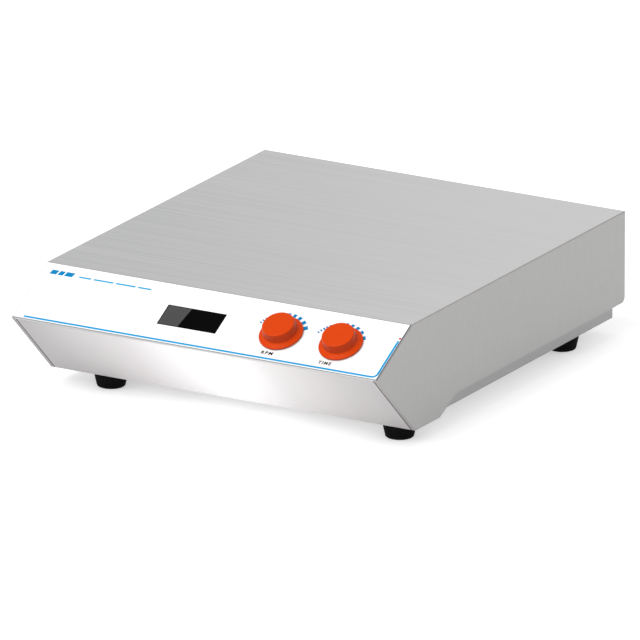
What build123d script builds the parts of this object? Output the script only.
from build123d import *

import os
from math import atan2, cos, hypot, pi, radians, sin, tan

# A magnetic stirrer for large vessels. A stainless hood with a sloping control panel closes over a base
# pan; a brushless motor on the pan turns a pair of magnets close under the flat top plate.
# Millimetres. +X is to the right, +Y to the rear, +Z up. The origin is the centre of the footprint,
# level with the underside of the feet.

# ---- Hood ----
width = 360.0
top_depth = 372.0
nose_reach = 61.0  # how far the control panel runs out in front of the top plate
nose_drop = 33.5  # how far it falls on the way
body_height = 96.4  # underside of the pan to the top plate
toe_setback = 5.7  # the toe's front edge, behind the top plate's front edge
toe_depth = 42.3
heel_run = 28.7  # length, along Y, of the slanting edge behind the toe
side_lift = 14.4  # lower edge of the sides above the underside of the pan
sheet = 1.5
edge_radius = 1.0
brow_radius = 2.0
rear_corner = 5.0
cheek_return = 3.4  # width of the edge that the sides turn round the apron
seam = 0.4  # gap between neighbouring sheets
tab_size = 14.0
tab_lifts = (29.0, 65.0)  # middle of each side tab above the lower edge of the sides
top_tab_spacing = 180.0

# ---- Apron and pan ----
toe_flange = 30.0
apron_hook = 12.0
pan_inset = 8.8
pan_wall = 30.0
rear_recess = 6.0
toe_screws = 3
vent_width = 3.0
vent_length = 34.0
vent_pitch = 8.0

# ---- Feet ----
foot_height = 13.6
foot_base_radius = 12.2
foot_top_radius = 15.2
foot_edge = 2.2
foot_recess_radius = 6.6
foot_recess_depth = 5.0
foot_from_right = 25.0
foot_from_left = 50.0
foot_from_brow = 22.4
foot_from_rear = 66.4

# ---- Fasteners ----
m4 = 4.0
m3 = 3.0
hole_play = 0.25  # radial clearance of a screw in its hole
nut_height = 3.0
washer_height = 1.0

# ---- Control panel ----
overlay_thickness = 0.5
overlay_margin = 0.7
knob_down = 36.5  # knob axes, measured down the slope from the top plate's front edge
speed_knob_from_right = 109.8
knob_spacing = 58.6
display_width = 57.5
display_height = 23.5
display_from_right = 197.8  # middle of the window
display_down = 37.0
lens_fit = 0.15
lens_flange = 2.0
lens_flange_height = 1.0
board_thickness = 1.6
board_margin = 12.0
panel_board_height = 38.0

# ---- Encoders and knobs, along their axis, from the hood's outer face ----
encoder_depth = 7.7
encoder_wall = 1.0
shaft_radius = 3.0
bushing_wall = 0.5
bushing_top = 5.0
running_gap = 0.04
shaft_top = 11.2
shaft_flat_cut = 0.7
press_travel = 0.5
body_gap = 0.3  # between pieces that move apart
wheel_web = 1.9  # from the shaft's side to the wheel's rim
wheel_height = 1.8
collar_step = 0.9
collar_height = 0.8
key_step = 0.4
key_flat_cut = 0.7
knob_lift = 1.4  # skirt's lower edge above the hood
knob_height = 11.8
skirt_radius = 19.6
skirt_rim = 1.3
skirt_fall = 1.1  # how much the skirt drops from its root to its rim
cap_radius = 14.3
cap_root_radius = 15.2
cap_flare = 2.6
cap_edge = 1.1
knob_cavity_radius = 12.0
knob_cavity_depth = 4.6
grub_length = 8.0
grub_socket_radius = 0.85
grub_socket_depth = 1.5

# ---- Motor, magnet carrier and bracket ----
isolator_height = 8.0
isolator_radius = 7.0
isolator_pitch = 96.0
bracket_size = 124.0
bracket_thickness = 3.0
motor_radius = 42.0
motor_wall = 3.0
motor_base = 7.0
motor_length = 46.0
end_cap_thickness = 5.0
motor_edge = 1.5
bearing_radius = 11.0
bearing_width = 7.0
bearing_race = 1.5
ball_radius = 1.9
ball_count = 8
motor_shaft_radius = 4.0
stator_height = 22.0
stator_yoke = 4.0
rotor_radius = 21.6
rotor_gap = 0.6
tooth_count = 9
tooth_width = 6.0
hub_radius = 11.0
hub_height = 10.0
hub_clearance = 3.0  # above the motor's end cap
yoke_length = 128.0
yoke_width = 46.0
yoke_thickness = 5.0
magnet_radius = 20.0
magnet_height = 8.0
magnet_offset = 38.0

# ---- Electronics ----
standoff_height = 8.0
standoff_radius = 2.8
control_board_width = 84.0
control_board_depth = 118.0
control_board_from_left = 18.0
control_board_behind_brow = 96.0
psu_width = 97.0
psu_depth = 159.0
psu_height = 30.0
psu_sheet = 1.0
psu_from_right = 15.5
psu_behind_brow = 118.0

plug_size = (20.0, 11.0)  # length and width of a board socket
plug_height = 9.0
plug_edge = 4.0
plug_steps = (12.0, 42.0, 72.0)

# ---- Mains inlet, fuse drawer and switch ----
inlet_from_right = 62.0
inlet_above_base = 50.0
inlet_flange = (50.0, 34.0, 2.5)
flange_corner = 4.0
inlet_body = (28.0, 31.0, 22.0)
inlet_screw_spacing = 40.0
socket_size = (24.6, 16.6, 17.0)
socket_rise = 5.2
socket_corner = 4.0
pin_size = (2.0, 4.0, 16.0)
pin_spacing = 14.0
pin_stagger = 2.0
pin_tail = 6.0
drawer_size = (21.0, 7.4, 19.0)
drawer_drop = 9.6
fuse_radius = 2.6
fuse_length = 18.0
switch_from_right = 108.0
bezel_size = (17.0, 23.0, 2.0)
bezel_corner = 1.5
switch_body = (14.0, 19.6, 15.0)
rocker_width = 10.8
rocker_radius = 8.6
rocker_tilt = 7.0
rocker_pivot = 1.6  # pivot, inside the wall's outer face
rocker_pin_radius = 1.0
tag_pitch = 6.0
tag_length = 8.0
tag_width = 6.0

# ---- Wiring ----
lead_radius = 1.1
cable_radius = 2.6
bend_share = 0.45

# ---- Places that follow from these ----
half_width = width / 2
depth = nose_reach + top_depth
y_nose = -depth / 2
y_brow = y_nose + nose_reach
y_rear = depth / 2
y_toe = y_brow + toe_setback
y_wall = y_rear - rear_recess
z_base = foot_height
z_floor = z_base + sheet
z_top = z_base + body_height
z_nose = z_top - nose_drop
z_side = z_base + side_lift
pan_half = half_width - pan_inset
tilt = atan2(nose_drop, nose_reach)
slope_length = hypot(nose_drop, nose_reach)
drive_y = y_brow + top_depth / 2
bushing_radius = shaft_radius + bushing_wall
shaft_flat = shaft_radius - shaft_flat_cut  # from the axis to the flat
wheel_radius = shaft_radius + wheel_web
collar_radius = shaft_radius + collar_step
key_radius = shaft_radius - key_step
key_half = key_radius - key_flat_cut  # half the width across the shaft's driving flats
encoder_width = 2 * (wheel_radius + body_gap + encoder_wall)

nodes = {}


def block(low, high):
    """A box between two opposite corners."""
    size = [b - a for a, b in zip(low, high)]
    middle = [(a + b) / 2 for a, b in zip(low, high)]
    return Pos(*middle) * Box(*size)


def rod(radius, bottom, top, at=(0, 0)):
    """An upright cylinder between two heights."""
    return Pos(at[0], at[1], (bottom + top) / 2) * Cylinder(radius, top - bottom)


def slab(outline, left, right):
    """A solid with the given side outline, as (y, z) points, between two X positions."""
    edge = Polyline(*[(left, y, z) for y, z in outline], close=True)
    return extrude(make_face(edge), amount=right - left, dir=(1, 0, 0))


def band(start, end, thickness=sheet):
    """The side outline of a sheet that lies on the left of the line from start to end."""
    run = (end[0] - start[0], end[1] - start[1])
    length = hypot(*run)
    inward = (-run[1] / length * thickness, run[0] / length * thickness)
    back = [(end[0] + inward[0], end[1] + inward[1]), (start[0] + inward[0], start[1] + inward[1])]
    return [start, end] + back


def on_panel(across, down, out=0.0):
    """A plane on the control panel: X across, Y up the slope, Z outwards."""
    y = y_brow - down * cos(tilt) - out * sin(tilt)
    z = z_top - down * sin(tilt) + out * cos(tilt)
    return Plane(origin=(across, y, z), x_dir=(1, 0, 0), z_dir=(0, -sin(tilt), cos(tilt)))


def on_wall(across, height):
    """A plane on the rear wall's outer face, seen from behind: X to the left, Y up, Z outwards."""
    return Plane(origin=(across, y_wall, height), x_dir=(-1, 0, 0), z_dir=(0, 1, 0))


def from_below(x, y, z):
    """A plane that faces down."""
    return Plane(origin=(x, y, z), x_dir=(1, 0, 0), z_dir=(0, 0, -1))


def inside(gap):
    """The space that the hood closes over, kept clear of its top and its slope by a gap."""
    lining = sheet + gap
    corner = (y_brow + lining * tan(tilt / 2), z_top - lining)
    low = on_panel(0, slope_length + width, -lining).origin
    far = width + depth
    points = [corner, (low.Y, low.Z), (low.Y, -far), (far, -far), (far, z_top - lining)]
    return slab(points, -half_width + lining, half_width - lining)


def screw(diameter, length):
    """A pan-head screw with a cross recess; its head rises from z = 0 and its shank goes down."""
    head_radius = 0.95 * diameter
    head_height = 0.6 * diameter
    head = fillet(Cylinder(head_radius, head_height).edges().group_by(Axis.Z)[-1], 0.3 * diameter)
    recess_depth = 0.35 * diameter
    recess = Box(diameter, 0.2 * diameter, recess_depth) + Box(0.2 * diameter, diameter, recess_depth)
    head -= Pos(0, 0, head_height / 2 - recess_depth / 2) * recess
    return Pos(0, 0, head_height / 2) * head + rod(diameter / 2, -length, 0)


def nut(diameter, height=nut_height):
    """A round clinch nut that stands on z = 0."""
    return rod(0.9 * diameter, 0, height) - rod(diameter / 2, 0, height)


def group(solids):
    return Compound(children=list(solids))


# ---- Where the fasteners go ----
def front_feet():
    y = y_brow + foot_from_brow
    return [(-half_width + foot_from_left, y), (half_width - foot_from_right, y)]


def rear_feet():
    return [(x, y_rear - foot_from_rear) for x, _ in front_feet()]


def toe_holes():
    (left, y), (right, _) = front_feet()
    step = (right - left) / (toe_screws + 1)
    return [(left + step * (i + 1), y) for i in range(toe_screws)]


def wall_holes():
    """Screws through the rear wall, as (x, z)."""
    side = half_width - sheet - tab_size / 2
    places = [(sign * side, z_side + lift) for sign in (-1, 1) for lift in tab_lifts]
    top = z_top - sheet - tab_size / 2
    return places + [(-top_tab_spacing / 2, top), (top_tab_spacing / 2, top)]


def square_of_holes(pitch):
    return [(sx * pitch / 2, drive_y + sy * pitch / 2) for sx in (-1, 1) for sy in (-1, 1)]


def knob_places():
    right = half_width - speed_knob_from_right
    return {"speed": (right, knob_down), "timer": (right + knob_spacing, knob_down)}


def display_place():
    return (half_width - display_from_right, display_down)


def panel_board_span():
    """Left and right ends of the panel board."""
    left = display_place()[0] - display_width / 2 - board_margin
    right = knob_places()["timer"][0] + encoder_width / 2 + board_margin
    return left, right


def panel_board_holes():
    """The panel board's posts, as (across, down)."""
    left, right = panel_board_span()
    reach = panel_board_height / 2 - standoff_radius - 1
    ends = (left + standoff_radius + 1, right - standoff_radius - 1)
    return [(x, display_down + sign * reach) for x in ends for sign in (-1, 1)]


def control_board_corner():
    return (-half_width + control_board_from_left, y_brow + control_board_behind_brow)


def control_board_holes():
    x, y = control_board_corner()
    edge = standoff_radius + 1
    xs = (x + edge, x + control_board_width - edge)
    ys = (y + edge, y + control_board_depth - edge)
    return [(a, b) for a in xs for b in ys]


def psu_corner():
    return (half_width - psu_from_right - psu_width, y_brow + psu_behind_brow)


def psu_holes():
    x, y = psu_corner()
    return [(x + psu_width / 2, y + psu_depth * share) for share in (0.1, 0.9)]


# ---- Housing ----
def outer_body():
    """The hood's outer shape, solid, with its edges rounded."""
    outline = [(y_brow, z_top), (y_nose, z_nose), (y_toe, z_base), (y_toe + toe_depth, z_base)]
    outline += [(y_toe + toe_depth + heel_run, z_side), (y_rear, z_side), (y_rear, z_top)]
    body = slab(outline, -half_width, half_width)

    def rear_low(edge):
        return abs(edge.center().Y - y_rear) < 0.01 and abs(edge.center().Z - z_side) < 0.01

    body = fillet(body.edges().filter_by(rear_low), rear_corner)

    def brow(edge):
        return abs(edge.center().X) < 0.01 and abs(edge.center().Y - y_brow) < 0.01

    def side_bends(edge):
        middle = edge.center()
        return abs(abs(middle.X) - half_width) < 0.01 and middle.Z > (z_nose + z_top) / 2 - brow_radius

    body = fillet(body.edges().filter_by(brow), brow_radius)
    return fillet(body.edges().filter_by(side_bends), edge_radius)


def make_hood():
    body = outer_body()
    shell = body - inside(0)
    toe_back = (y_toe + toe_depth, z_base)
    heel = (y_toe + toe_depth + heel_run, z_side)
    heel_angle = atan2(side_lift, heel_run)
    mitre = (heel[0] - sheet * tan(heel_angle / 2), z_side + sheet)
    sill = [toe_back, heel, (y_rear, z_side), (y_rear, z_side + sheet), mitre, band(toe_back, heel)[-1]]
    turned_edges = [
        (band((y_nose, z_nose), (y_toe, z_base)), cheek_return),
        (band((y_toe + 2 * sheet, z_base), toe_back), pan_inset - seam),
        (sill, pan_inset - seam),
    ]
    for outline, reach in turned_edges:
        for left in (-half_width, half_width - reach):
            shell += slab(outline, left, left + reach) & body
    for x, z in wall_holes():
        half = tab_size / 2
        front = y_wall - 2 * sheet
        shell += block((x - half, front, z - half), (x + half, front + sheet, z + half))
        shell -= Plane(origin=(x, y_wall, z), z_dir=(0, 1, 0)) * Cylinder(m4 / 2 + hole_play, 8 * sheet)
    for across, down in knob_places().values():
        shell -= on_panel(across, down) * Cylinder(bushing_radius + hole_play, 4 * sheet)
    across, down = display_place()
    opening = Box(display_width + 2 * lens_fit, display_height + 2 * lens_fit, 4 * sheet)
    return shell - on_panel(across, down) * opening


def make_apron():
    inner = half_width - cheek_return - seam
    plate = slab(band((y_nose, z_nose), (y_toe, z_base)), -inner, inner)
    plate += slab(band((y_toe, z_base), (y_toe + toe_flange, z_base)), -pan_half, pan_half)
    hook_out = -1.5 * sheet - seam
    hook = on_panel(0, slope_length - apron_hook / 2, hook_out) * Box(2 * inner, apron_hook, sheet)
    plate = (plate + hook) & outer_body() & inside(seam)
    for x, y in front_feet() + toe_holes():
        plate -= rod(m4 / 2 + hole_play, 0, z_top / 2, (x, y))
    return plate


def vent_row(x, y, count):
    """Slots that run along X, in a column along Y."""
    slot = SlotOverall(vent_length, vent_width)
    return [Pos(x, y + (i - (count - 1) / 2) * vent_pitch, 0) * slot for i in range(count)]


def make_base_pan():
    back = y_toe + toe_flange + seam
    floor = block((-pan_half, back, z_base), (pan_half, y_wall, z_floor))
    tongue = ((-pan_half, y_toe + 3 * sheet, z_floor), (pan_half, back + sheet, z_floor + sheet))
    floor += block(*tongue)
    for left in (-pan_half, pan_half - sheet):
        floor += block((left, back, z_base), (left + sheet, y_wall, z_base + pan_wall))
    wall_half = half_width - sheet - seam
    step = z_side + sheet + seam
    low = y_wall - sheet
    floor += block((-pan_half, low, z_base), (pan_half, y_wall, step))
    floor += block((-wall_half, low, step), (wall_half, y_wall, z_top - sheet - seam))
    for x, y in front_feet() + toe_holes() + rear_feet() + square_of_holes(isolator_pitch):
        floor -= rod(m4 / 2 + hole_play, 0, z_side, (x, y))
    for x, y in control_board_holes() + psu_holes():
        floor -= rod(m3 / 2 + hole_play, 0, z_side, (x, y))
    for x, z in wall_holes():
        floor -= on_wall(x, z) * Cylinder(m4 / 2 + hole_play, 4 * sheet)
    inlet_x, inlet_z = half_width - inlet_from_right, z_base + inlet_above_base
    floor -= on_wall(inlet_x, inlet_z) * Box(inlet_body[0] + seam, inlet_body[1] + seam, 4 * sheet)
    for sign in (-1, 1):
        x = inlet_x + sign * inlet_screw_spacing / 2
        floor -= on_wall(x, inlet_z) * Cylinder(m3 / 2 + hole_play, 4 * sheet)
    switch_x = half_width - switch_from_right
    floor -= on_wall(switch_x, inlet_z) * Box(switch_body[0] + seam, switch_body[1] + seam, 4 * sheet)
    for x in (-half_width * 0.62, -half_width * 0.32):
        for slot in vent_row(0, 0, 5):
            floor -= on_wall(x, inlet_z) * extrude(slot, amount=3 * sheet, both=True)
    psu_x, psu_y = psu_corner()
    board_x, board_y = control_board_corner()
    middles = [(psu_x + psu_width / 2, psu_y + psu_depth / 2)]
    middles += [(board_x + control_board_width / 2, board_y + control_board_depth / 2)]
    for x, y in middles:
        for slot in vent_row(x, y, 9):
            floor -= Pos(0, 0, z_base) * extrude(slot, amount=3 * sheet, both=True)
    return floor


def make_foot(x, y):
    body = Pos(x, y, z_base / 2) * Cone(foot_base_radius, foot_top_radius, z_base)
    body = fillet(body.edges().group_by(Axis.Z)[0], foot_edge)
    body -= rod(foot_recess_radius, 0, foot_recess_depth, (x, y))
    return body - rod(m4 / 2 + hole_play, 0, z_base, (x, y))


def add_housing():
    nodes["hood"] = make_hood()
    nodes["front_apron"] = make_apron()
    nodes["base_pan"] = make_base_pan()
    (left, front), (right, _) = front_feet()
    rear = rear_feet()[0][1]
    nodes["foot_front_left"] = make_foot(left, front)
    nodes["foot_front_right"] = make_foot(right, front)
    nodes["foot_rear_left"] = make_foot(left, rear)
    nodes["foot_rear_right"] = make_foot(right, rear)

    seat = foot_recess_depth - washer_height
    feet = front_feet() + rear_feet()
    washer = rod(foot_recess_radius - 1, seat, foot_recess_depth) - rod(m4 / 2 + hole_play, 0, z_base)
    nodes["foot_washers"] = group(Pos(x, y, 0) * washer for x, y in feet)
    foot_screw = screw(m4, z_floor + sheet + nut_height - seat)
    nodes["foot_screws"] = group(from_below(x, y, seat) * foot_screw for x, y in feet)

    wall_screw = screw(m4, 2 * sheet + nut_height)
    screws = [on_wall(x, z) * wall_screw for x, z in wall_holes()]
    screws += [from_below(x, y, z_base) * wall_screw for x, y in toe_holes()]
    nodes["housing_screws"] = group(screws)

    behind = y_wall - 2 * sheet
    nuts = [Plane(origin=(x, behind, z), z_dir=(0, -1, 0)) * nut(m4) for x, z in wall_holes()]
    nuts += [Pos(x, y, z_floor + sheet) * nut(m4) for x, y in front_feet() + toe_holes()]
    nuts += [Pos(x, y, z_floor) * nut(m4) for x, y in rear_feet()]
    motor_low = drive_levels()[1]
    nuts += [Pos(x, y, motor_low) * nut(m4) for x, y in square_of_holes(isolator_pitch)]
    nodes["clinch_nuts"] = group(nuts)


# ---- Control panel ----
def make_overlay():
    span = (width - 2 * overlay_margin, slope_length - 2 * overlay_margin, overlay_thickness)
    film = on_panel(0, slope_length / 2, overlay_thickness / 2) * Box(*span)
    for across, down in knob_places().values():
        film -= on_panel(across, down) * Cylinder(bushing_radius + hole_play, 4 * sheet)
    across, down = display_place()
    opening = Box(display_width + 2 * lens_fit, display_height + 2 * lens_fit, 4 * sheet)
    return film - on_panel(across, down) * opening


def make_lens():
    face = block(
        (-display_width / 2, -display_height / 2, -sheet),
        (display_width / 2, display_height / 2, overlay_thickness),
    )
    wide, tall = display_width / 2 + lens_flange, display_height / 2 + lens_flange
    return face + block((-wide, -tall, -sheet - lens_flange_height), (wide, tall, -sheet))


def make_encoder_body():
    """The encoder's case and threaded bushing, open inside for the wheel."""
    low = -sheet - encoder_depth
    half = encoder_width / 2
    case = block((-half, -half, low), (half, half, -sheet)) + rod(bushing_radius, -sheet, bushing_top)
    case -= rod(wheel_radius + body_gap, low + 1, -sheet - 1.2)
    return case - rod(shaft_radius + running_gap, low + 1, bushing_top)


def key_shape(extra, bottom, top):
    """The shaft's lower end, with two flats, grown by a clearance."""
    side = key_half + extra
    flats = block((-side, -2 * key_radius, bottom), (side, 2 * key_radius, top))
    return rod(key_radius + extra, bottom, top) & flats


def encoder_levels():
    """Heights inside the encoder: the collar's top and bottom, and the wheel's top."""
    collar_top = -sheet - 1.2 - body_gap
    collar_bottom = collar_top - collar_height
    wheel_top = collar_bottom - press_travel - body_gap
    return collar_top, collar_bottom, wheel_top


def make_encoder_shaft():
    collar_top, collar_bottom = encoder_levels()[:2]
    end = -sheet - encoder_depth + 1 + press_travel + body_gap
    shaft = rod(shaft_radius, collar_bottom, shaft_top) + rod(collar_radius, collar_bottom, collar_top)
    shaft += key_shape(0, end, collar_bottom)
    flat_low = bushing_top + 1
    flat = block((-shaft_radius, shaft_flat, flat_low), (shaft_radius, 2 * shaft_radius, shaft_top))
    return shaft - flat


def make_encoder_wheel():
    wheel_top = encoder_levels()[2]
    disc = rod(wheel_radius, wheel_top - wheel_height, wheel_top)
    return disc - key_shape(running_gap, wheel_top - wheel_height, wheel_top)


def make_knob():
    """A skirted knob, turned about its axis, with a D-shaped bore and room below for the nut."""
    top = knob_lift + knob_height
    root = knob_lift + skirt_rim + skirt_fall
    with BuildPart() as turned:
        with BuildSketch(Plane.XZ):
            with BuildLine():
                Polyline(
                    (0, knob_lift),
                    (skirt_radius, knob_lift),
                    (skirt_radius, knob_lift + skirt_rim),
                    (cap_root_radius, root),
                    (cap_radius, top),
                    (0, top),
                    close=True,
                )
            make_face()
        revolve(axis=Axis.Z)
    solid = turned.part

    def circle_at(radius, height):
        def found(edge):
            ring = edge.geom_type == GeomType.CIRCLE and abs(edge.radius - radius) < 0.01
            return ring and abs(edge.center().Z - height) < 0.01

        return solid.edges().filter_by(found)

    solid = fillet(circle_at(cap_root_radius, root), cap_flare)
    solid = fillet(circle_at(cap_radius, top), cap_edge)
    solid = fillet(circle_at(skirt_radius, knob_lift + skirt_rim), 0.45 * skirt_rim)
    solid -= rod(knob_cavity_radius, knob_lift, knob_lift + knob_cavity_depth)
    bore = rod(shaft_radius, knob_lift, shaft_top)
    above = bushing_top + 1
    bore -= block((-shaft_radius, shaft_flat, above), (shaft_radius, 2 * shaft_radius, shaft_top))
    solid -= bore
    return solid - grub_screw_space()


def grub_screw_space():
    """The radial hole that holds the knob's grub screw, on the flat's side."""
    height = (knob_lift + knob_cavity_depth + shaft_top) / 2
    level = Plane(origin=(0, shaft_flat, height), x_dir=(1, 0, 0), z_dir=(0, 1, 0))
    return level * rod(m3 / 2, 0, cap_root_radius)


def make_grub_screw():
    height = (knob_lift + knob_cavity_depth + shaft_top) / 2
    level = Plane(origin=(0, shaft_flat, height), x_dir=(1, 0, 0), z_dir=(0, 1, 0))
    socket = Plane.XY.offset(grub_length) * RegularPolygon(grub_socket_radius, 6)
    body = rod(m3 / 2, 0, grub_length) - extrude(socket, amount=-grub_socket_depth)
    return level * body


def add_control_panel():
    nodes["control_overlay"] = make_overlay()
    lens_at = on_panel(*display_place())
    nodes["display_lens"] = lens_at * make_lens()
    board_top = -sheet - encoder_depth
    left, right = panel_board_span()
    span = (right - left, panel_board_height, board_thickness)
    board = on_panel((left + right) / 2, display_down, board_top - board_thickness / 2) * Box(*span)
    for across, down in panel_board_holes():
        board -= on_panel(across, down, board_top) * Cylinder(m3 / 2 + hole_play, 4 * board_thickness)
    nodes["panel_board"] = board
    module_top = -sheet - lens_flange_height - body_gap
    module = block(
        (-display_width / 2 + 1, -display_height / 2 + 1, board_top),
        (display_width / 2 - 1, display_height / 2 - 1, module_top),
    )
    nodes["display_module"] = lens_at * module

    washers = []
    nuts = []
    for name, (across, down) in knob_places().items():
        axis = on_panel(across, down)
        nodes[name + "_encoder_body"] = axis * make_encoder_body()
        nodes[name + "_encoder_wheel"] = axis * make_encoder_wheel()
        nodes[name + "_encoder_shaft"] = axis * make_encoder_shaft()
        nodes[name + "_knob"] = axis * make_knob()
        nodes[name + "_knob_screw"] = axis * make_grub_screw()
        low = overlay_thickness
        washer = rod(bushing_radius + 2.5, low, low + 0.5) - rod(bushing_radius + 0.1, low, low + 0.5)
        washers.append(axis * washer)
        hexagon = extrude(RegularPolygon(bushing_radius + 1.5, 6, major_radius=False), amount=2.0)
        hexagon -= rod(bushing_radius, 0, 2.0)
        nuts.append(axis * (Pos(0, 0, low + 0.5) * hexagon))
    nodes["encoder_washers"] = group(washers)
    nodes["encoder_nuts"] = group(nuts)


# ---- Drive ----
def drive_levels():
    """Heights of the drive, from the pan up."""
    bracket_low = z_floor + isolator_height
    motor_low = bracket_low + bracket_thickness
    cap_low = motor_low + motor_length
    cap_top = cap_low + end_cap_thickness
    hub_low = cap_top + hub_clearance
    yoke_low = hub_low + hub_height
    return bracket_low, motor_low, cap_low, cap_top, hub_low, yoke_low


def bearing_bottoms():
    _, motor_low, _, cap_top, _, _ = drive_levels()
    return (motor_low + 2, cap_top - 2 - bearing_width)


def yoke_bar(bottom, top):
    bar = extrude(SlotOverall(yoke_length, yoke_width), amount=top - bottom)
    return Pos(0, 0, bottom) * bar


def add_drive():
    bracket_low, motor_low, cap_low, cap_top, hub_low, yoke_low = drive_levels()
    centre = Pos(0, drive_y, 0)
    lower, upper = bearing_bottoms()

    isolators = [rod(isolator_radius, z_floor, bracket_low, p) for p in square_of_holes(isolator_pitch)]
    holes = [rod(m4 / 2, z_floor, bracket_low, p) for p in square_of_holes(isolator_pitch)]
    nodes["bracket_isolators"] = group(a - b for a, b in zip(isolators, holes))
    through = sheet + isolator_height + bracket_thickness + nut_height
    long = screw(m4, through)
    mount_screws = [from_below(x, y, z_base) * long for x, y in square_of_holes(isolator_pitch)]

    half = bracket_size / 2
    motor_pitch = motor_radius * 1.1
    bracket = block((-half, drive_y - half, bracket_low), (half, drive_y + half, motor_low))
    bracket = fillet(bracket.edges().filter_by(Axis.Z), isolator_radius)
    bracket -= rod(bearing_radius, bracket_low, motor_low, (0, drive_y))
    for place in square_of_holes(isolator_pitch) + square_of_holes(motor_pitch):
        bracket -= rod(m4 / 2 + hole_play, bracket_low, motor_low, place)
    nodes["motor_bracket"] = bracket

    bore_radius = motor_radius - motor_wall
    housing = rod(motor_radius, motor_low, cap_low) - rod(bore_radius, motor_low + motor_base, cap_low)
    housing += rod(bearing_radius + 3, motor_low + motor_base, lower + bearing_width)
    housing -= rod(bearing_radius, lower, cap_low)
    housing -= rod(motor_shaft_radius + 1, motor_low, lower)
    screw_depth = 5.0
    housing = centre * housing
    for place in square_of_holes(motor_pitch):
        housing -= rod(m4 / 2, motor_low, motor_low + screw_depth, place)
    nodes["motor_housing"] = housing
    short = screw(m4, bracket_thickness + screw_depth)
    mount_screws += [from_below(x, y, bracket_low) * short for x, y in square_of_holes(motor_pitch)]
    nodes["motor_mount_screws"] = group(mount_screws)

    cap = rod(motor_radius, cap_low, cap_top) + rod(bore_radius, cap_low - 3, cap_low)
    cap -= rod(bore_radius - 2, cap_low - 3, cap_low)
    cap += rod(bearing_radius + 3, upper, cap_top)
    cap -= rod(bearing_radius, upper, upper + bearing_width)
    cap -= rod(motor_shaft_radius + 1, upper, cap_top)
    rim = cap.edges().group_by(Axis.Z)[-1].sort_by(SortBy.RADIUS)[-1]
    nodes["motor_end_cap"] = centre * fillet(rim, motor_edge)

    core_low = (motor_low + motor_base + cap_low - 3) / 2 - stator_height / 2
    core_top = core_low + stator_height
    tooth_tip = rotor_radius + rotor_gap
    ring_inner = bore_radius - stator_yoke
    stator = rod(bore_radius, core_low, core_top) - rod(ring_inner, core_low, core_top)
    coils = []
    for i in range(tooth_count):
        turn = Rot(0, 0, 360 / tooth_count * i)
        half = tooth_width / 2
        stator += turn * block((tooth_tip, -half, core_low), (ring_inner + 1, half, core_top))
        reach = (tooth_tip + 2.5, ring_inner - 1.5)
        coil = block((reach[0], -half - 2, core_low - 2), (reach[1], half + 2, core_top + 2))
        coil -= block((reach[0], -half, core_low), (reach[1], half, core_top))
        coils.append(centre * (turn * coil))
    nodes["motor_stator"] = centre * (stator - rod(tooth_tip, core_low, core_top))
    nodes["motor_coils"] = group(coils)

    rotor = rod(rotor_radius, core_low, core_top) - rod(motor_shaft_radius, core_low, core_top)
    nodes["motor_rotor"] = centre * rotor
    carrier_top = yoke_low + yoke_thickness + magnet_height
    nodes["motor_shaft"] = centre * rod(motor_shaft_radius, lower + 0.5, yoke_low + yoke_thickness)

    outers = []
    inners = []
    balls = []
    pitch = (bearing_radius + motor_shaft_radius) / 2
    for low in (lower, upper):
        top = low + bearing_width
        outer = rod(bearing_radius, low, top) - rod(bearing_radius - bearing_race, low, top)
        inner = rod(motor_shaft_radius + bearing_race, low, top) - rod(motor_shaft_radius, low, top)
        outers.append(centre * outer)
        inners.append(centre * inner)
        for i in range(ball_count):
            angle = 2 * pi * i / ball_count
            middle = Pos(pitch * cos(angle), drive_y + pitch * sin(angle), (low + top) / 2)
            balls.append(middle * Sphere(ball_radius))
    nodes["bearing_outer_rings"] = group(outers)
    nodes["bearing_inner_rings"] = group(inners)
    nodes["bearing_balls"] = group(balls)

    yoke_top = yoke_low + yoke_thickness
    carrier = rod(hub_radius, hub_low, yoke_low) + yoke_bar(yoke_low, yoke_top)
    carrier -= rod(motor_shaft_radius, hub_low, yoke_top)
    grub_height = (hub_low + yoke_low) / 2
    side = Plane(origin=(0, 0, grub_height), x_dir=(1, 0, 0), z_dir=(0, -1, 0))
    grub = side * rod(m4 / 2, motor_shaft_radius, hub_radius)
    retainer = yoke_bar(yoke_top, carrier_top)
    magnets = []
    for sign in (-1, 1):
        magnet = rod(magnet_radius, yoke_top, carrier_top, (sign * magnet_offset, 0))
        retainer -= magnet
        magnets.append(centre * magnet)
    pins = []
    reach = (magnet_offset - magnet_radius) / 2
    for sx in (-1, 1):
        for sy in (-1, 1):
            place = (sx * reach, sy * yoke_width * 0.3)
            pin = rod(m3 / 2, yoke_low, carrier_top, place)
            carrier -= pin
            retainer -= pin
            pins.append(centre * pin)
    nodes["magnet_carrier"] = centre * (carrier - grub)
    nodes["magnet_retainer"] = centre * retainer
    nodes["drive_magnets"] = group(magnets)
    nodes["carrier_screws"] = group(pins + [centre * grub])


# ---- Electronics ----
def post(height):
    return extrude(RegularPolygon(standoff_radius, 6), amount=height) - rod(m3 / 2, 0, height)


def control_plugs():
    """The control board's sockets: low and high corners."""
    x, y = control_board_corner()
    low = z_floor + standoff_height + board_thickness
    high = low + plug_height
    right = x + control_board_width - plug_edge
    left = right - plug_size[1]
    plugs = [((left, y + rise, low), (right, y + rise + plug_size[0], high)) for rise in plug_steps]
    back = y + control_board_depth - plug_edge
    middle = x + control_board_width / 2
    half = plug_size[0] / 2
    plugs.append(((middle - half, back - plug_size[1], low), (middle + half, back, high)))
    return plugs


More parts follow.
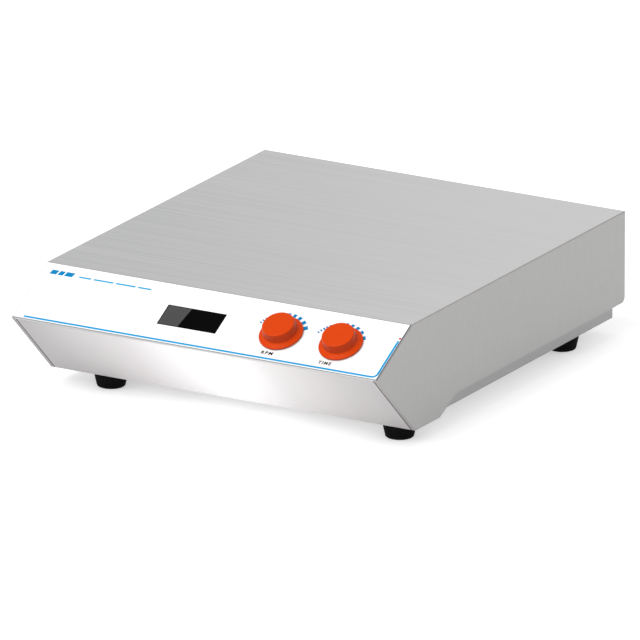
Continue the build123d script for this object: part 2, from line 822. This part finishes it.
def add_boards():
    x, y = control_board_corner()
    board_low = z_floor + standoff_height
    board_top = board_low + board_thickness
    far = (x + control_board_width, y + control_board_depth, board_top)
    board = block((x, y, board_low), far)
    for place in control_board_holes():
        board -= rod(m3 / 2 + hole_play, board_low, board_top, place)
    nodes["control_board"] = board
    panel_low = -sheet - encoder_depth
    posts = [Pos(a, b, z_floor) * post(standoff_height) for a, b in control_board_holes()]
    posts += [on_panel(a, b, panel_low) * post(encoder_depth) for a, b in panel_board_holes()]
    nodes["board_posts"] = group(posts)
    short = screw(m3, board_thickness + standoff_height / 3)
    screws = [Pos(a, b, board_top) * short for a, b in control_board_holes()]
    for a, b in panel_board_holes():
        screws.append(on_panel(a, b, panel_low - board_thickness) * (Rot(180, 0, 0) * short))
    post_screw = screw(m3, sheet + standoff_height / 3)
    supply_screw = screw(m3, sheet + psu_sheet)
    screws += [from_below(a, b, z_base) * post_screw for a, b in control_board_holes()]
    screws += [from_below(a, b, z_base) * supply_screw for a, b in psu_holes()]
    inlet_x, inlet_z = half_width - inlet_from_right, z_base + inlet_above_base
    flange = inlet_flange[2]
    for sign in (-1, 1):
        face = on_wall(inlet_x + sign * inlet_screw_spacing / 2, inlet_z)
        screws.append(face * (Pos(0, 0, flange) * screw(m3, flange + sheet + nut_height)))
    nodes["m3_screws"] = group(screws)

    sink = block((-9, -26, 0), (9, 26, 4))
    for i in range(5):
        sink += block((-9 + 4 * i, -26, 4), (-7 + 4 * i, 26, 22))
    nodes["board_heat_sink"] = Pos(x + 16, y + control_board_depth / 2, board_top) * sink
    parts = [rod(6.5, board_top, board_top + 22, (x + 44, y + 24 + 18 * i)) for i in range(2)]
    parts += [block(low, high) for low, high in control_plugs()]
    parts.append(panel_plug())
    nodes["board_parts"] = group(parts)


def panel_plug_depth():
    return -sheet - encoder_depth - board_thickness


def panel_plug():
    """The socket on the back of the panel board."""
    across = panel_board_span()[0] + board_margin
    half = plug_size[0] / 2
    low = panel_plug_depth() - plug_height
    socket = block((-plug_size[1] / 2, -half, low), (plug_size[1] / 2, half, panel_plug_depth()))
    return on_panel(across, display_down) * socket


def add_supply():
    x, y = psu_corner()
    low = z_floor
    back = y + psu_depth
    case = block((x, y, low), (x + psu_width, back, low + psu_height))
    hollow_low = (x + psu_sheet, y + psu_sheet, low + psu_sheet)
    hollow_high = (x + psu_width - psu_sheet, back + 1, low + psu_height - psu_sheet)
    case -= block(hollow_low, hollow_high)
    for i in range(8):
        for j in range(4):
            hole = (x + psu_width * (j + 1) / 5, y + psu_depth * (i + 1) / 10)
            case -= rod(3, low + psu_height / 2, low + psu_height + 1, hole)
    for place in psu_holes():
        case -= rod(m3 / 2, low, low + psu_sheet, place)
    nodes["supply_case"] = case

    lift = low + psu_sheet + 3
    top = lift + board_thickness
    terminal_front = back - 13.5
    inner_low = (x + psu_sheet + 1, y + psu_sheet + 1, lift)
    inner_high = (x + psu_width - psu_sheet - 1, terminal_front - 0.5, top)
    board = block(inner_low, inner_high)
    board += rod(8, top, top + 20, (x + 24, y + 34)) + rod(8, top, top + 20, (x + 24, y + 60))
    board += block((x + 46, y + 30, top), (x + 80, y + 66, top + 20))
    board += block((x + 20, y + 100, top), (x + 70, y + 106, top + 20))
    nodes["supply_board"] = board
    terminal_low = (x + 8, terminal_front, low + psu_sheet + 0.5)
    terminal = block(terminal_low, (x + psu_width - 8, back - 2, low + 16))
    for spot in supply_spots():
        terminal -= block((spot - 3, back - 9, low + 8), (spot + 3, back - 2, low + 16))
    nodes["supply_terminals"] = terminal


def supply_spots():
    """Where the supply's terminals stand along X."""
    first = psu_corner()[0] + 16
    return [first + i * (psu_width - 32) / 6 for i in range(7)]


# ---- Wiring ----
def lead(name, points, radius):
    """A wire or cable along straight runs joined by arcs."""
    radii = []
    for before, corner, after in zip(points, points[1:], points[2:]):
        arriving = Vector(corner) - Vector(before)
        leaving = Vector(after) - Vector(corner)
        turn = radians(arriving.get_angle(leaving))
        radii.append(bend_share * min(arriving.length, leaving.length) / tan(turn / 2))
    path = FilletPolyline(*points, radius=radii)
    start = Plane(origin=points[0], z_dir=Vector(points[1]) - Vector(points[0]))
    tube = sweep(start * Circle(radius), path=path)
    tightest = min(radii) / (2 * radius)
    even = tube.volume / (pi * radius**2 * path.length)
    print(name, "tightest bend", round(tightest, 1), "diameters, volume ratio", round(even, 4))
    return tube


def add_wiring():
    inlet_x, inlet_z = half_width - inlet_from_right, z_base + inlet_above_base
    switch_x = half_width - switch_from_right
    tag_y = y_wall - switch_body[2] - tag_length
    pin_y = y_wall - inlet_body[2] - pin_tail
    live_x, neutral_x = inlet_x + pin_spacing / 2, inlet_x - pin_spacing / 2
    row = inlet_z + socket_rise - pin_stagger
    spots = supply_spots()
    end_y = psu_corner()[1] + psu_depth - 2
    end_z = z_floor + 4.4
    high_tag, low_tag = inlet_z + tag_pitch - 0.6, inlet_z - tag_pitch - 0.6
    switched = [
        (live_x, pin_y, row),
        (live_x, pin_y - 10, row),
        (live_x - 8, pin_y - 22, row - 6),
        (inlet_x - 18, pin_y - 28, row - 9),
        (switch_x + 12, pin_y - 22, row - 7),
        (switch_x, tag_y - 12, high_tag),
        (switch_x, tag_y, high_tag),
    ]
    live = [
        (switch_x, tag_y, low_tag),
        (switch_x, tag_y - 12, low_tag),
        (switch_x + 4, tag_y - 26, inlet_z - 16),
        (spots[0] - 1, end_y + 26, end_z + 13),
        (spots[0], end_y + 12, end_z),
        (spots[0], end_y, end_z),
    ]
    neutral = [
        (neutral_x, pin_y, row),
        (neutral_x, pin_y - 12, row),
        (neutral_x - 1, pin_y - 26, row - 12),
        (spots[2] + 2, end_y + 26, end_z + 15),
        (spots[2], end_y + 12, end_z),
        (spots[2], end_y, end_z),
    ]
    earth = [
        (inlet_x, pin_y, row + 2 * pin_stagger),
        (inlet_x, pin_y - 12, row + 2 * pin_stagger),
        (inlet_x + 1, pin_y - 28, row - 4),
        (spots[3] + 4, end_y + 27, end_z + 16),
        (spots[3], end_y + 12, end_z),
        (spots[3], end_y, end_z),
    ]
    wires = {"switched lead": switched, "live lead": live, "neutral lead": neutral, "earth lead": earth}
    nodes["mains_leads"] = group(lead(name, points, lead_radius) for name, points in wires.items())

    low, high = control_plugs()[-1]
    plug_x, plug_z = (low[0] + high[0]) / 2, (low[2] + high[2]) / 2
    on_floor = z_floor + cable_radius + 0.5
    behind = drive_y + bracket_size / 2 + 80
    supply = [
        (spots[5] + 8, end_y, end_z),
        (spots[5] + 8, end_y + 13, end_z),
        (spots[5] + 2, end_y + 32, end_z - 0.5),
        (spots[4] - 6, behind - 4, on_floor + 0.3),
        (spots[2] - 10, behind + 4, on_floor),
        (spots[0] - 24, behind + 4, on_floor),
        (10, behind, on_floor),
        (-40, behind - 8, on_floor),
        (-84, behind - 23, on_floor),
        (plug_x + 8, behind - 49, on_floor),
        (plug_x + 1, high[1] + 50, on_floor + 0.5),
        (plug_x + 0.5, high[1] + 34, on_floor + 3),
        (plug_x, high[1] + 16, plug_z),
        (plug_x, high[1], plug_z),
    ]
    low, high = control_plugs()[2]
    motor_left = -motor_radius
    tap_y = (low[1] + high[1]) / 2
    entry_z = plug_z + 8.3
    motor = [
        (high[0], tap_y, plug_z),
        (high[0] + 10, tap_y, plug_z),
        (motor_left - 9, drive_y, entry_z),
        (motor_left, drive_y, entry_z),
    ]
    cables = {"supply cable": (supply, cable_radius), "motor cable": (motor, lead_radius * 1.4)}
    nodes["drive_cables"] = group(lead(name, points, size) for name, (points, size) in cables.items())

    low, high = control_plugs()[0]
    start_y = (low[1] + high[1]) / 2
    plug_across = panel_board_span()[0] + board_margin
    plug_face = on_panel(plug_across, display_down, panel_plug_depth() - plug_height)
    arrival = [tuple(plug_face.from_local_coords((0, 0, -reach))) for reach in (12, 0)]
    last = arrival[0]
    panel = [
        (high[0], start_y, plug_z),
        (high[0] + 9, start_y, plug_z),
        (high[0] + 22, start_y - 8, plug_z - 1),
        (last[0] - 6, start_y - 28, plug_z + 2),
        (last[0], last[1] + 12, (plug_z + last[2]) / 2),
    ]
    nodes["panel_cable"] = lead("panel cable", panel + arrival, cable_radius * 0.7)


# ---- Rear wall ----
def add_rear_wall():
    x, z = half_width - inlet_from_right, z_base + inlet_above_base
    at = on_wall(x, z)
    wide, tall, thick = inlet_flange
    flange = block((-wide / 2, -tall / 2, 0), (wide / 2, tall / 2, thick))
    body = fillet(flange.edges().filter_by(Axis.Z), flange_corner)
    half = inlet_body[0] / 2, inlet_body[1] / 2
    body += block((-half[0], -half[1], -inlet_body[2]), (half[0], half[1], 0))
    socket = block(
        (-socket_size[0] / 2, socket_rise - socket_size[1] / 2, thick - socket_size[2]),
        (socket_size[0] / 2, socket_rise + socket_size[1] / 2, thick),
    )

    def upper_corner(edge):
        return edge.center().Y > socket_rise

    corners = socket.edges().filter_by(Axis.Z).filter_by(upper_corner)
    body -= chamfer(corners, socket_corner)
    slot = [s / 2 for s in drawer_size]
    body -= block(
        (-slot[0], -drawer_drop - slot[1], thick - drawer_size[2]),
        (slot[0], -drawer_drop + slot[1], thick),
    )
    pins = []
    socket_floor = thick - socket_size[2]
    rows = ((-pin_spacing / 2, -pin_stagger), (pin_spacing / 2, -pin_stagger), (0, pin_stagger))
    for across, rise in rows:
        spot = (across, socket_rise + rise)
        low = (spot[0] - pin_size[0] / 2, spot[1] - pin_size[1] / 2, -inlet_body[2] - pin_tail)
        high = (spot[0] + pin_size[0] / 2, spot[1] + pin_size[1] / 2, socket_floor + pin_size[2] - 2)
        pin = block(low, high)
        body -= pin
        pins.append(at * pin)
    for sign in (-1, 1):
        body -= rod(m3 / 2 + hole_play, 0, thick, (sign * inlet_screw_spacing / 2, 0))
    nodes["inlet_body"] = at * body

    gap = body_gap
    tray = block(
        (-slot[0] + gap, -drawer_drop - slot[1] + gap, thick - drawer_size[2] + gap),
        (slot[0] - gap, -drawer_drop + slot[1] - gap, thick + 0.8),
    )
    grip = block((-5, -drawer_drop - 1.2, thick + 0.8), (5, -drawer_drop + 1.2, thick + 2.2))
    pocket_z = thick - drawer_size[2] / 2 - 1
    fuse = Pos(0, -drawer_drop, pocket_z) * (Rot(0, 90, 0) * Cylinder(fuse_radius, fuse_length))
    pocket = block(
        (-fuse_length / 2, -drawer_drop - fuse_radius, pocket_z - fuse_radius),
        (fuse_length / 2, -drawer_drop + slot[1], pocket_z + fuse_radius),
    )
    nodes["fuse_drawer"] = at * (tray + grip - pocket)
    nodes["fuse"] = at * fuse

    at = on_wall(half_width - switch_from_right, z)
    wide, tall, thick = bezel_size
    bezel = block((-wide / 2, -tall / 2, 0), (wide / 2, tall / 2, thick))
    case = fillet(bezel.edges().filter_by(Axis.Z), bezel_corner)
    half = switch_body[0] / 2, switch_body[1] / 2
    case += block((-half[0], -half[1], -switch_body[2]), (half[0], half[1], 0))
    side = rocker_width / 2 + body_gap
    reach = rocker_radius + body_gap
    case -= block((-side, -reach, -rocker_pivot - 5), (side, reach, thick))
    pin_length = rocker_width + 2 * body_gap + 1.6
    pivot = Pos(0, 0, -rocker_pivot)
    lying = Rot(0, 90, 0)
    case -= pivot * (lying * Cylinder(rocker_pin_radius + running_gap, pin_length + 2 * body_gap))
    nodes["switch_case"] = at * case
    lift = rocker_radius * sin(radians(rocker_tilt))
    crown = 4.6
    edge = Polyline(
        (-rocker_radius, -3.0), (rocker_radius, -3.0), (rocker_radius, crown + lift),
        (0, crown), (-rocker_radius, crown + lift), close=True,
    )
    face = Plane(origin=(-rocker_width / 2, 0, 0), x_dir=(0, 1, 0), z_dir=(1, 0, 0)) * make_face(edge)
    rocker = extrude(face, amount=rocker_width, dir=(1, 0, 0))
    rocker &= lying * Cylinder(rocker_radius, rocker_width)
    rocker += lying * Cylinder(rocker_pin_radius, pin_length)
    nodes["switch_rocker"] = at * (pivot * (Rot(rocker_tilt, 0, 0) * rocker))
    tag_low = -switch_body[2] - tag_length
    for i in (-1, 0, 1):
        low, high = tag_pitch * i - 1, tag_pitch * i - 0.2
        pins.append(at * block((-tag_width / 2, low, tag_low), (tag_width / 2, high, -switch_body[2])))
    nodes["mains_terminals"] = group(pins)


add_housing()
add_control_panel()
add_drive()
add_boards()
add_supply()
add_rear_wall()
add_wiring()

os.makedirs("parts", exist_ok=True)
for name, shape in nodes.items():
    export_step(shape, "parts/" + name + ".step")
print(len(nodes), "nodes")
